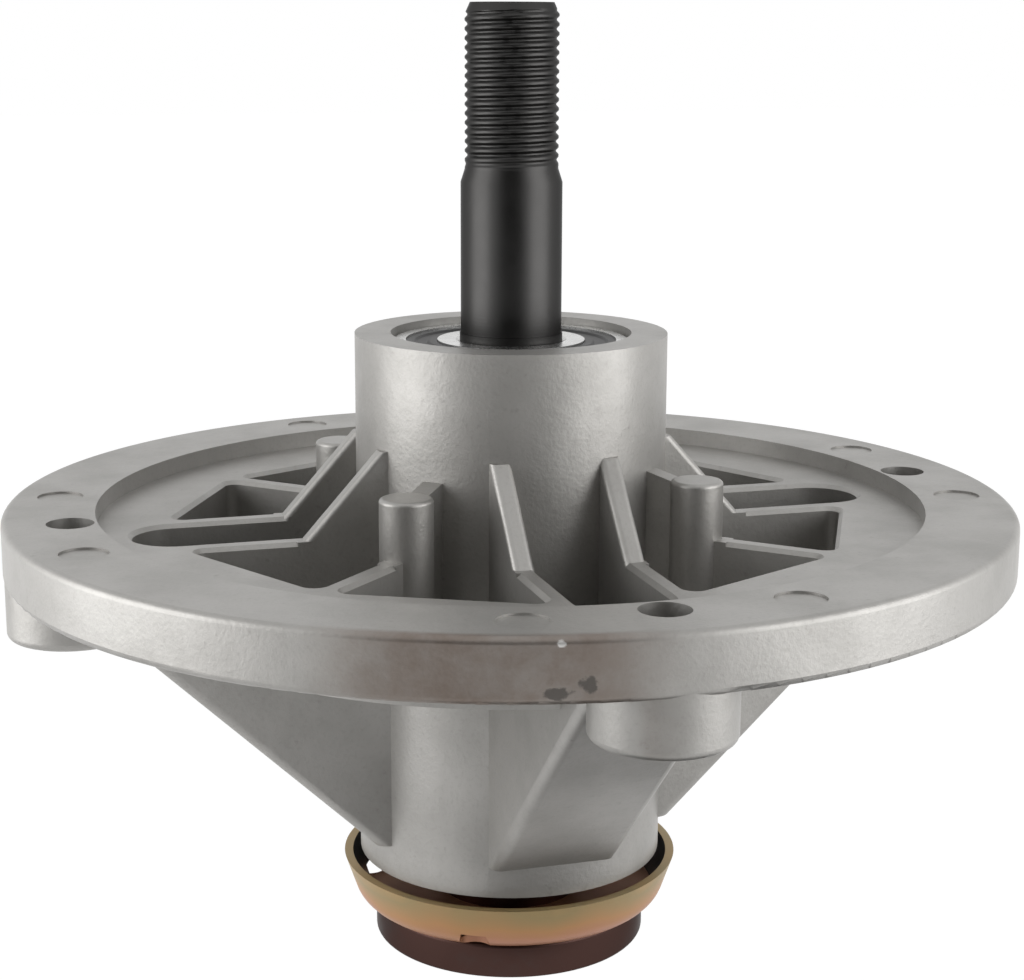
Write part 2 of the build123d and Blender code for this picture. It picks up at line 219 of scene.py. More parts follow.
def new_finish(name):
    """Start a material and return it with its bench and its Principled shader."""
    material = bpy.data.materials.new(name)
    material.use_nodes = True
    bench = Bench(material.node_tree)
    return material, bench, material.node_tree.nodes["Principled BSDF"]


def colour4(colour):
    """A property's colour with full opacity."""
    return (colour[0], colour[1], colour[2], 1.0)


def feed(bench, shader, values):
    """Give the shader's sockets their values or links."""
    for name, value in values.items():
        if isinstance(value, Wire):
            bench.tree.links.new(value.socket, shader.inputs[name])
        else:
            shader.inputs[name].default_value = value


def object_place(bench):
    """Object coordinates."""
    return bench.out("ShaderNodeTexCoord", {}, {}, "Object")


def parts_of(bench, place):
    """The three parts of a place: across, along and height."""
    parts = bench.node("ShaderNodeSeparateXYZ", {}, {0: place})
    return [Wire(bench, part) for part in parts.outputs]


def noise(bench, place, kind):
    """Noise of one kind, from 0 to 1."""
    scale, detail, roughness = kind
    values = {"Vector": place, "Scale": scale, "Detail": detail, "Roughness": roughness}
    return bench.out("ShaderNodeTexNoise", {}, values, "Fac")


def cast_aluminium(look):
    """Die-cast skin: warm grey, finely grained, with soft blotches, a stain and nicks on the rim."""
    material, bench, shader = new_finish("cast_aluminium")
    place = object_place(bench)
    across, along, height = parts_of(bench, place)
    grain = noise(bench, place, CAST_GRAIN)
    pores = noise(bench, place, CAST_PORES)
    blotch = noise(bench, place, CAST_BLOTCH)
    dulled = bench.between(blotch, 0.35, 0.7)
    skin = bench.mixed(dulled, colour4(look.casting), colour4(look.casting_dull))
    dimple = bench.between(pores, 0.62, 0.78)
    speckle = bench.between(grain, 0.5, 0.75)
    skin = bench.mixed(dimple * PORE_SHARE + speckle * SPECKLE_SHARE, skin, colour4(look.casting_pore))
    reach = bench.maths("SQRT", across * across + along * along)
    toward = across * math.sin(look.stain_heading) - along * math.cos(look.stain_heading)
    facing = bench.maths("DIVIDE", toward, reach)
    rim_r = housing_high.x
    on_rim = bench.between(reach, rim_r - 3 * MM, rim_r - 1 * MM)
    near_stain = bench.between(facing, math.cos(look.stain_spread), 1.0)
    streak = bench.between(noise(bench, place, CAST_STREAK), 0.3, 0.7)
    stain = on_rim * near_stain * (STAIN_SHARE + streak * STREAK_SHARE)
    skin = bench.mixed(stain, skin, colour4(look.casting_stain))
    on_front = bench.between(facing, 0.0, 0.5)
    for heading, level, half_width, half_height, colour in RIM_NICKS:
        aside = across * math.cos(heading) + along * math.sin(heading)
        wide = aside * (1 / half_width)
        high = (height - level) * (1 / half_height)
        spread = bench.maths("SQRT", wide * wide + high * high)
        nick = bench.between(spread + pores * NICK_RAGGED - NICK_RAGGED / 2, 1.0, 0.6)
        skin = bench.mixed(on_rim * nick * on_front * NICK_SHARE, skin, colour4(colour))
    relief = grain * 0.6 + pores * 0.8
    bump = bench.out("ShaderNodeBump", {}, {"Strength": 0.22, "Distance": 0.0003, "Height": relief})
    feed(
        bench,
        shader,
        {
            "Base Color": skin,
            "Metallic": 0.62,
            "Roughness": 0.36 + blotch * 0.16,
            "Normal": bump,
        },
    )
    return material


def black_oxide(look):
    """Blackened turned steel: satin, with faint rings left by the tool and a brown cast in places."""
    material, bench, shader = new_finish("black_oxide")
    place = object_place(bench)
    height = parts_of(bench, place)[2]
    worn = noise(bench, place, OXIDE_WEAR)
    foot = 1 - bench.between(height, cup_low.z, cup_high.z)
    browned = bench.between(worn * 0.6 + foot * 0.5, 0.42, 0.8)
    skin = bench.mixed(browned, colour4(look.oxide), colour4(look.oxide_brown))
    rings = bench.maths("SINE", height * SPINDLE_RINGS)
    relief = rings * 0.06 + worn
    bump = bench.out("ShaderNodeBump", {}, {"Strength": 0.1, "Distance": 0.0002, "Height": relief})
    feed(
        bench,
        shader,
        {
            "Base Color": skin,
            "Metallic": 1.0,
            "Specular Tint": colour4(look.oxide_edge),
            "Roughness": 0.29 + worn * 0.16,
            "Normal": bump,
        },
    )
    return material


def yellow_chromate(look):
    """Zinc plate with a yellow chromate film, whose tint drifts from green to gold to pink, and painted
    shade on the walls that face inward.
    """
    material, bench, shader = new_finish("yellow_chromate")
    place = object_place(bench)
    across, along, height = parts_of(bench, place)
    facing = bench.out("ShaderNodeTexCoord", {}, {}, "Normal")
    facing_across, facing_along = parts_of(bench, facing)[:2]
    inward = 0 - across * facing_across - along * facing_along
    # Painted shade: walls that face the axis are darkened towards black, standing in for the shade inside
    # the cup.
    inside_shade = bench.between(inward, 0.0, 0.3 * cup_high.x)
    drift = noise(bench, place, FILM_DRIFT)
    fine = noise(bench, place, FILM_FINE)
    climb = bench.between(height, cup_low.z, cup_high.z)
    film = climb * 0.55 + drift * 0.7 - 0.12
    stops = [
        (0.0, look.film_gold),
        (0.3, look.film_pink),
        (0.52, look.film_gold),
        (0.78, look.film_green),
        (1.0, look.film_pale),
    ]
    tint = bench.out("ShaderNodeValToRGB", {"stops": stops}, {"Fac": film})
    bump = bench.out("ShaderNodeBump", {}, {"Strength": 0.08, "Distance": 0.0002, "Height": fine})
    feed(
        bench,
        shader,
        {
            "Base Color": bench.mixed(inside_shade, tint, colour4(look.cup_inside_shade)),
            "Metallic": 0.4,
            "Roughness": 0.34 + drift * 0.16,
            "Normal": bump,
        },
    )
    return material


def ground_steel(look):
    """Ground bearing steel, slightly smeared."""
    material, bench, shader = new_finish("ground_steel")
    place = object_place(bench)
    smear = noise(bench, place, GROUND_SMEAR)
    skin = bench.mixed(smear, colour4(look.steel), colour4(look.steel_dull))
    feed(bench, shader, {"Base Color": skin, "Metallic": 1.0, "Roughness": 0.2 + smear * 0.14})
    return material


def turned_steel(look):
    """Plain turned steel tube."""
    material, bench, shader = new_finish("turned_steel")
    place = object_place(bench)
    height = parts_of(bench, place)[2]
    smear = noise(bench, place, TURNED_SMEAR)
    rings = bench.maths("SINE", height * SPACER_RINGS)
    bump = bench.out("ShaderNodeBump", {}, {"Strength": 0.1, "Distance": 0.0002, "Height": rings})
    skin = bench.mixed(smear, colour4(look.steel_dull), colour4(look.steel))
    feed(bench, shader, {"Base Color": skin, "Metallic": 1.0, "Roughness": 0.34, "Normal": bump})
    return material


def pressed_steel(look):
    """Thin pressed sheet of the bearing cages."""
    material, bench, shader = new_finish("pressed_steel")
    place = object_place(bench)
    smear = noise(bench, place, PRESSED_SMEAR)
    skin = bench.mixed(smear, colour4(look.steel_dull), colour4(look.steel))
    feed(bench, shader, {"Base Color": skin, "Metallic": 1.0, "Roughness": 0.3 + smear * 0.2})
    return material


def seal_rubber(look):
    """Moulded rubber of the bearing seals, slightly dusty."""
    material, bench, shader = new_finish("seal_rubber")
    place = object_place(bench)
    dust = noise(bench, place, RUBBER_DUST)
    fine = noise(bench, place, RUBBER_FINE)
    skin = bench.mixed(bench.between(dust, 0.4, 0.8), colour4(look.rubber), colour4(look.rubber_dusty))
    bump = bench.out("ShaderNodeBump", {}, {"Strength": 0.1, "Distance": 0.0001, "Height": fine})
    feed(bench, shader, {"Base Color": skin, "Roughness": 0.42 + dust * 0.2, "Normal": bump})
    return material


def wear(nodes, material):
    """Give CAD nodes a finish."""
    for name in nodes:
        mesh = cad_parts[name].data
        mesh.materials.clear()
        mesh.materials.append(material)


def arc_points(centre_r, centre_z, radius, start, stop, steps):
    """Points of a rounded corner in a turned profile, from one angle to another, in degrees."""
    points = []
    for step in range(steps + 1):
        angle = math.radians(start + (stop - start) * step / steps)
        points.append((centre_r + radius * math.cos(angle), centre_z + radius * math.sin(angle)))
    return points


def turn_profile(shape, profile, segments):
    """Turn a profile of radius and height pairs about the axis, closing it with a pole at radius 0."""
    rings = []
    for radius, height in profile:
        if radius == 0:
            rings.append([shape.verts.new((0, 0, height))])
            continue
        ring = []
        for index in range(segments):
            angle = FULL_TURN * index / segments
            ring.append(shape.verts.new((radius * math.cos(angle), radius * math.sin(angle), height)))
        rings.append(ring)
    for lower, upper in zip(rings, rings[1:]):
        for index in range(segments):
            following = (index + 1) % segments
            corners = [lower[index % len(lower)], lower[following % len(lower)]]
            corners += [upper[following % len(upper)], upper[index % len(upper)]]
            shape.faces.new(list(dict.fromkeys(corners)))


def heading_of(vert):
    """Angle of a point about the axis."""
    return math.atan2(vert.co.y, vert.co.x)


def keep_normals(shape, mesh):
    """Store each corner's own normal, so that merging points leaves the shading alone."""
    layer = shape.loops.layers.float_vector.new(NORMAL_LAYER)
    index = 0
    for face in shape.faces:
        for loop in face.loops:
            loop[layer] = mesh.corner_normals[index].vector
            index += 1


def use_normals(mesh):
    """Shade a mesh with the normals stored on its corners."""
    stored = mesh.attributes[NORMAL_LAYER]
    normals = [corner.vector.copy() for corner in stored.data]
    mesh.attributes.remove(stored)
    mesh.shade_smooth()
    mesh.normals_split_custom_set(normals)


def zip_rings(shape, inner, outer):
    """Join two rings of points about the axis with triangles, and return the triangles."""
    faces = []
    inner_step = 0
    outer_step = 0
    inner_angles = [heading_of(vert) for vert in inner]
    outer_angles = [heading_of(vert) for vert in outer]
    inner_angles.append(inner_angles[0] + FULL_TURN)
    outer_angles.append(outer_angles[0] + FULL_TURN)
    while inner_step < len(inner) or outer_step < len(outer):
        here = inner[inner_step % len(inner)]
        there = outer[outer_step % len(outer)]
        inner_done = inner_step == len(inner)
        outer_done = outer_step == len(outer)
        if inner_done or (not outer_done and outer_angles[outer_step + 1] < inner_angles[inner_step + 1]):
            outer_step += 1
            faces.append(shape.faces.new((here, there, outer[outer_step % len(outer)])))
        else:
            inner_step += 1
            faces.append(shape.faces.new((here, there, inner[inner_step % len(inner)])))
    return faces


def turn_rim(shape, casting):
    """Swap the flange's top rounding for evenly turned rings between the same two edges."""
    outer_r = housing_high.x
    inner_r = outer_r - casting.rim_edge
    rounding = []
    for face in shape.faces:
        reaches = [math.hypot(vert.co.x, vert.co.y) for vert in face.verts]
        heights = [vert.co.z for vert in face.verts]
        beside_rim = min(reaches) > inner_r - RIM_SLACK
        if beside_rim and -casting.rim_edge - RIM_SLACK < min(heights) < -RIM_SLACK:
            rounding.append(face)
    bmesh.ops.delete(shape, geom=rounding, context="FACES")
    open_edges = [edge for edge in shape.edges if len(edge.link_faces) == 1]
    loose = {vert for edge in open_edges for vert in edge.verts}
    top = [vert for vert in loose if vert.co.z > -RIM_SLACK]
    side = [vert for vert in loose if vert.co.z <= -RIM_SLACK]
    rings = [sorted(top, key=heading_of)]
    for row in range(1, casting.rim_rows):
        slant = math.pi / 2 * row / casting.rim_rows
        reach = inner_r + casting.rim_edge * math.sin(slant)
        height = casting.rim_edge * (math.cos(slant) - 1)
        ring = []
        for index in range(casting.rim_segments):
            angle = FULL_TURN * index / casting.rim_segments - math.pi
            ring.append(shape.verts.new((reach * math.cos(angle), reach * math.sin(angle), height)))
        rings.append(sorted(ring, key=heading_of))
    rings.append(sorted(side, key=heading_of))
    layer = shape.loops.layers.float_vector[NORMAL_LAYER]
    for inner, outer in zip(rings, rings[1:]):
        for face in zip_rings(shape, inner, outer):
            for loop in face.loops:
                place = loop.vert.co
                outward = place.to_2d().normalized() * (place.to_2d().length - inner_r)
                loop[layer] = mathutils.Vector((*outward, place.z + casting.rim_edge)).normalized()


def thread_tree(bar):
    """Geometry nodes that wrap a grid into a screw thread, with its sizes as inputs."""
    tree = bpy.data.node_groups.new("screw_thread", "GeometryNodeTree")
    face = tree.interface
    sizes = (
        ("Crest Radius", bar.crest_radius),
        ("Depth", bar.thread_depth),
        ("Pitch", bar.thread_pitch),
        ("Length", bar.thread_length),
        ("Start Height", bar.thread_start),
        ("Chamfer Width", bar.chamfer_width),
        ("Chamfer Height", bar.chamfer_height),
        ("Run Out", bar.run_out),
    )
    for name, value in sizes:
        socket = face.new_socket(name, in_out="INPUT", socket_type="NodeSocketFloat")
        socket.default_value = value
    for name, value in (("Segments", bar.segments), ("Rows", bar.thread_rows)):
        socket = face.new_socket(name, in_out="INPUT", socket_type="NodeSocketInt")
        socket.default_value = value
    face.new_socket("Material", in_out="INPUT", socket_type="NodeSocketMaterial")
    face.new_socket("Geometry", in_out="OUTPUT", socket_type="NodeSocketGeometry")
    bench = Bench(tree)
    given = bench.node("NodeGroupInput", {}, {})
    wires = [Wire(bench, given.outputs[name]) for name, value in sizes]
    crest, depth, pitch, length, start, chamfer_width, chamfer_height, run_out = wires
    columns = Wire(bench, given.outputs["Segments"]) + 1
    rows = Wire(bench, given.outputs["Rows"])
    grid_sizes = {"Size X": 1.0, "Size Y": 1.0, "Vertices X": columns, "Vertices Y": rows}
    grid = bench.node("GeometryNodeMeshGrid", {}, grid_sizes)
    flat = bench.out("GeometryNodeInputPosition", {}, {})
    parts = bench.node("ShaderNodeSeparateXYZ", {}, {0: flat})
    turn = Wire(bench, parts.outputs[0]) + 0.5
    climb = (Wire(bench, parts.outputs[1]) + 0.5) * length
    turns_up = bench.maths("DIVIDE", climb, pitch)
    phase = bench.maths("FRACT", turns_up - turn + 1)
    ridge = 1 - bench.maths("ABSOLUTE", phase * 2 - 1)
    flank_values = {"Value": ridge, "From Min": THREAD_ROOT, "From Max": THREAD_CREST}
    flank = bench.out("ShaderNodeMapRange", {}, flank_values)
    run_values = {"Value": climb, "From Min": 0.0, "From Max": run_out}
    groove = bench.out("ShaderNodeMapRange", {}, run_values) * (1 - flank)
    cut_radius = crest - depth * groove
    bevel_start = length - chamfer_height
    bevel_values = {"Value": climb, "From Min": bevel_start, "From Max": length}
    bevel = bench.out("ShaderNodeMapRange", {}, bevel_values)
    bevel_radius = crest - chamfer_width * bevel
    radius = bench.maths("MINIMUM", cut_radius, bevel_radius)
    angle = turn * FULL_TURN
    across = radius * bench.maths("COSINE", angle)
    along = radius * bench.maths("SINE", angle)
    wrapped = bench.out("ShaderNodeCombineXYZ", {}, {0: across, 1: along, 2: climb + start})
    mesh = Wire(bench, grid.outputs["Mesh"])
    moved = bench.out("GeometryNodeSetPosition", {}, {"Geometry": mesh, "Position": wrapped})
    welded = bench.out("GeometryNodeMergeByDistance", {}, {"Geometry": moved, "Distance": WELD_GAP})
    realised = bench.out("GeometryNodeRealizeInstances", {}, {"Geometry": welded})
    material = Wire(bench, given.outputs["Material"])
    finished = bench.out("GeometryNodeSetMaterial", {}, {"Geometry": realised, "Material": material})
    bench.node("NodeGroupOutput", {}, {"Geometry": finished})
    return tree


def thread_mesh(bar, material):
    """Evaluate the thread tree once and return its plain mesh."""
    tree = thread_tree(bar)
    holder = bpy.data.objects.new("thread_holder", bpy.data.meshes.new("thread_holder"))
    bpy.context.scene.collection.objects.link(holder)
    modifier = holder.modifiers.new("thread", "NODES")
    modifier.node_group = tree
    for item in tree.interface.items_tree:
        if item.name == "Material":
            modifier[item.identifier] = material
    graph = bpy.context.evaluated_depsgraph_get()
    mesh = bpy.data.meshes.new_from_object(holder.evaluated_get(graph))
    holder.modifiers.remove(modifier)
    bpy.data.objects.remove(holder)
    return mesh


def check_closed(shape, name):
    """Stop where a shape has an edge that doesn't join two faces."""
    open_edges = [edge for edge in shape.edges if len(edge.link_faces) != 2]
    if open_edges:
        raise RuntimeError("%s has %d open edges" % (name, len(open_edges)))


def new_piece(context, shape, name, material):
    """Make an object of a shape, with one material."""
    mesh = bpy.data.meshes.new(name)
    shape.to_mesh(mesh)
    shape.free()
    mesh.materials.append(material)
    piece = bpy.data.objects.new(name, mesh)
    context.scene.collection.objects.link(piece)
    return piece


def colour_setting(name, description, default):
    """A colour that the panel's user can set."""
    return bpy.props.FloatVectorProperty(
        name=name, description=description, subtype="COLOR", default=default
    )


def length_setting(name, description, default):
    """A length, in metres."""
    return bpy.props.FloatProperty(
        name=name, description=description, subtype="DISTANCE", default=default, precision=5
    )


def angle_setting(name, description, degrees):
    """An angle, given in degrees and stored in radians."""
    return bpy.props.FloatProperty(
        name=name, description=description, subtype="ANGLE", default=math.radians(degrees)
    )


def count_setting(name, description, default, least):
    """A whole number with a least value."""
    return bpy.props.IntProperty(name=name, description=description, default=default, min=least)


class SpindleFinishes(bpy.types.PropertyGroup):
    """Colours of the finishes."""

    casting: colour_setting("Casting", "Clean cast skin", (0.43, 0.42, 0.402))
    casting_dull: colour_setting("Casting Dull", "Duller patches of the cast skin", (0.37, 0.361, 0.344))
    casting_pore: colour_setting("Casting Pores", "Pores of the cast skin", (0.22, 0.205, 0.19))
    casting_stain: colour_setting("Casting Stain", "Brown stain on the rim", (0.2, 0.152, 0.122))
    stain_heading: angle_setting("Stain Heading", "Where the rim is stained", -18.5)
    stain_spread: angle_setting("Stain Spread", "Half width of the stain", 19)
    oxide: colour_setting("Black Oxide", "Blackened steel", (0.052, 0.051, 0.05))
    oxide_edge: colour_setting("Oxide Edge", "Tint of the oxide's grazing gloss", (0.55, 0.55, 0.55))
    oxide_brown: colour_setting("Oxide Brown", "Brown cast of the oxide", (0.064, 0.035, 0.03))
    film_gold: colour_setting("Film Gold", "Main tint of the chromate film", (0.515, 0.274, 0.115))
    film_pink: colour_setting("Film Pink", "Pink bands of the film", (0.515, 0.245, 0.148))
    film_green: colour_setting("Film Green", "Green bands of the film", (0.38, 0.283, 0.13))
    film_pale: colour_setting("Film Pale", "Pale rim of the film", (0.565, 0.346, 0.145))
    # Painted shade: this dark colour on the cup's inward walls stands in for the shade inside the cup.
    cup_inside_shade: colour_setting("Cup Inside Shade", "Painted shade inside the cup", (0.02, 0.017, 0.014))
    steel: colour_setting("Steel", "Ground steel", (0.68, 0.68, 0.67))
    steel_dull: colour_setting("Steel Dull", "Smeared steel", (0.5, 0.5, 0.49))
    rubber: colour_setting("Rubber", "Seal rubber", (0.045, 0.045, 0.045))
    rubber_dusty: colour_setting("Rubber Dusty", "Dust on the seals", (0.09, 0.088, 0.084))


class CastingSizes(bpy.types.PropertyGroup):
    """Sizes of the casting's turned rim."""

    rim_edge: length_setting("Rim Edge", "Rounding of the flange's top edge", 1.3 * MM)
    rim_segments: count_setting("Rim Segments", "Points round each ring of the rim", 360, 12)
    rim_rows: count_setting("Rim Rows", "Steps across the rim's rounding", 7, 2)


class SpindleSizes(bpy.types.PropertyGroup):
    """Sizes of the turned spindle."""

    crest_radius: length_setting("Crest Radius", "Outer radius of the thread", 9 * MM)
    thread_depth: length_setting("Thread Depth", "Depth of the thread", 0.5 * MM)
    thread_pitch: length_setting("Thread Pitch", "Rise of the thread in one turn", 1.75 * MM)
    thread_length: length_setting("Thread Length", "Threaded length", THREAD_LENGTH)
    thread_start: length_setting(
        "Thread Start", "Height where the thread begins", shaft_high.z - THREAD_LENGTH
    )
    chamfer_width: length_setting("Chamfer Width", "End chamfer across", 1.0 * MM)
    chamfer_height: length_setting("Chamfer Height", "End chamfer along", 2.2 * MM)
    run_out: length_setting("Run Out", "Length over which the thread fades in", 2.4 * MM)
    journal_radius: length_setting("Journal Radius", "Radius in the bearings", 10 * MM)
    seat_radius: length_setting("Seat Radius", "Radius of the pulley seat", 9.8 * MM)
    journal_top: length_setting("Journal Top", "Height where the taper begins", 61.9 * MM)
    collar_radius: length_setting("Collar Radius", "Radius of the lower collar", 14 * MM)
    collar_top: length_setting(
        "Collar Top", "Height of the collar's face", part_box("lower_inner_ring")[0].z
    )
    foot_thickness: length_setting("Foot Thickness", "Blade flange thickness", cup_low.z - shaft_low.z)
    foot_edge: length_setting("Foot Edge", "Rounding of the blade flange", 1.0 * MM)
    hole_radius: length_setting("Hole Radius", "Blade bolt hole", 5.4 * MM)
    hole_depth: length_setting("Hole Depth", "Depth of the blade bolt hole", 32 * MM)
    hole_chamfer: length_setting("Hole Chamfer", "Chamfer of the bolt hole", 1.0 * MM)
    segments: count_setting("Segments", "Faces round the spindle", 96, 12)
    thread_rows: count_setting("Thread Rows", "Rows of points along the thread", 240, 12)


class SpindleStudio(bpy.types.PropertyGroup):
    """Camera, lamps, floor and dark sheets."""

    heading: angle_setting("Heading", "Camera turn about the spindle", -16.8)
    distance: length_setting("Distance", "Camera distance from the axis", 0.4037)
    height: length_setting("Height", "Camera height over the flange", 0.0911)
    pitch: angle_setting("Pitch", "Camera angle below the horizon", 12.56)
    roll: angle_setting("Roll", "Camera roll", 0.2)
    slide: bpy.props.FloatProperty(
        name="Slide",
        description="Sideways shift of the picture, as a share of its width",
        default=0.0015,
    )
    lens: bpy.props.FloatProperty(
        name="Lens",
        description="Focal length",
        subtype="DISTANCE_CAMERA",
        default=73.24,
    )
    left_power: bpy.props.FloatProperty(
        name="Left Power",
        description="Power of the left lamp",
        subtype="POWER",
        default=0.66,
    )
    right_power: bpy.props.FloatProperty(
        name="Right Power",
        description="Power of the right lamp",
        subtype="POWER",
        default=0.6,
    )
    lamp_reach: length_setting("Lamp Reach", "Distance of each lamp from the axis", 0.32)
    left_height: length_setting("Left Height", "Height of the left lamp over the flange", 0.04)
    right_height: length_setting("Right Height", "Height of the right lamp over the flange", 0.07)
    lamp_width: length_setting("Lamp Width", "Width of each lamp", 0.26)
    lamp_tall: length_setting("Lamp Tall", "Height of each lamp's face", 0.3)
    left_turn: angle_setting("Left Turn", "Turn of the left lamp from the camera", -74)
    right_turn: angle_setting("Right Turn", "Turn of the right lamp from the camera", 66)
    ambient: bpy.props.FloatProperty(
        name="Ambient",
        description="World light on matt surfaces",
        default=0.18,
    )
    floor_glow: bpy.props.FloatProperty(
        name="Floor Glow",
        description="Share of plain white in the floor as the camera sees it",
        subtype="FACTOR",
        default=0.94,
    )
    floor_gap: length_setting("Floor Gap", "Gap under the part", 0.2 * MM)
    # The mat settings place a sheet of painted shade on the floor in front of the part.
    mat_turn: angle_setting("Mat Turn", "Turn of the dark mat from the camera", 22)
    mat_start: length_setting("Mat Start", "Near edge of the dark mat in front", 0.05)
    mat_end: length_setting("Mat End", "Far edge of the dark mat in front", 0.12)
    mat_width: length_setting("Mat Width", "Width of the dark mat", 0.11)
    card_distance: length_setting("Card Distance", "Dark card behind the camera", 0.95)
    card_width: length_setting("Card Width", "Width of the dark card", 1.0)
    card_height: length_setting("Card Height", "Height of the dark card", 0.9)


class SPINDLE_OT_casting(bpy.types.Operator):
    """Finish the die-cast housing, with its rim turned evenly"""

    bl_idname = "spindle.casting"
    bl_label = "Casting"

    def execute(self, context):
        casting = context.scene.casting_sizes
        material = cast_aluminium(context.scene.spindle_finishes)
        wear(["spindle_housing"], material)
        shape = bmesh.new()
        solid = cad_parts["spindle_housing"].data
        shape.from_mesh(solid)
        keep_normals(shape, solid)
        bmesh.ops.remove_doubles(shape, verts=shape.verts, dist=WELD_GAP)
        turn_rim(shape, casting)
        check_closed(shape, "cast_housing")
        piece = new_piece(context, shape, "cast_housing", material)
        use_normals(piece.data)
        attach(piece, "housing")
        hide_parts("spindle_housing")
        return {"FINISHED"}


class SPINDLE_OT_bearings(bpy.types.Operator):
    """Finish both bearings and the spacer between them"""

    bl_idname = "spindle.bearings"
    bl_label = "Bearings"

    def execute(self, context):
        look = context.scene.spindle_finishes
        steel = ground_steel(look)
        sheet = pressed_steel(look)
        rubber = seal_rubber(look)
        for end in ("upper", "lower"):
            wear([end + "_outer_ring", end + "_inner_ring", end + "_balls"], steel)
            wear([end + "_cage_upper", end + "_cage_lower", end + "_cage_rivets"], sheet)
            wear([end + "_top_seal", end + "_bottom_seal"], rubber)
        wear(["bearing_spacer"], turned_steel(look))
        return {"FINISHED"}


class SPINDLE_OT_dust_cup(bpy.types.Operator):
    """Finish the dust cup"""

    bl_idname = "spindle.dust_cup"
    bl_label = "Dust Cup"

    def execute(self, context):
        wear(["dust_cup"], yellow_chromate(context.scene.spindle_finishes))
        return {"FINISHED"}


class SPINDLE_OT_shaft(bpy.types.Operator):
    """Turn the spindle with its thread, blade flange and bolt hole"""

    bl_idname = "spindle.shaft"
    bl_label = "Shaft"

    def execute(self, context):
        bar = context.scene.spindle_sizes
        material = black_oxide(context.scene.spindle_finishes)
        wear(["spindle_shaft"], material)
        foot_radius = shaft_high.x
        foot_bottom = shaft_low.z
        foot_top = foot_bottom + bar.foot_thickness
        round_r = foot_radius - bar.foot_edge
        hole_top = foot_bottom + bar.hole_depth
        drill_tip = hole_top + bar.hole_radius / math.tan(DRILL_HALF_ANGLE)
        profile = [
            (0, drill_tip),
            (bar.hole_radius, hole_top),
            (bar.hole_radius, foot_bottom + bar.hole_chamfer),
            (bar.hole_radius + bar.hole_chamfer, foot_bottom),
        ]
        edge = bar.foot_edge
        profile += arc_points(round_r, foot_bottom + edge, edge, -90, 0, FOOT_EDGE_STEPS)
        profile += arc_points(round_r, foot_top - edge, edge, 0, 90, FOOT_EDGE_STEPS)
        profile += [
            (bar.collar_radius, foot_top),
            (bar.collar_radius, bar.collar_top),
            (bar.journal_radius, bar.collar_top),
            (bar.journal_radius, housing_high.z),
            (bar.seat_radius, housing_high.z),
            (bar.seat_radius, bar.journal_top),
            (bar.crest_radius, bar.thread_start),
        ]
        end_profile = [(bar.crest_radius - bar.chamfer_width, shaft_high.z), (0, shaft_high.z)]
        shape = bmesh.new()
        shape.from_mesh(thread_mesh(bar, material))
        turn_profile(shape, profile, bar.segments)
        turn_profile(shape, end_profile, bar.segments)
        bmesh.ops.remove_doubles(shape, verts=shape.verts, dist=WELD_GAP)
        bmesh.ops.recalc_face_normals(shape, faces=shape.faces)
        for face in shape.faces:
            face.material_index = 0
        check_closed(shape, "turned_spindle")
        piece = new_piece(context, shape, "turned_spindle", material)
        piece.data.shade_smooth()
        piece.data.set_sharp_from_angle(angle=SHARP_ANGLE)
        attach(piece, "spindle")
        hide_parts("spindle_shaft")
        return {"FINISHED"}


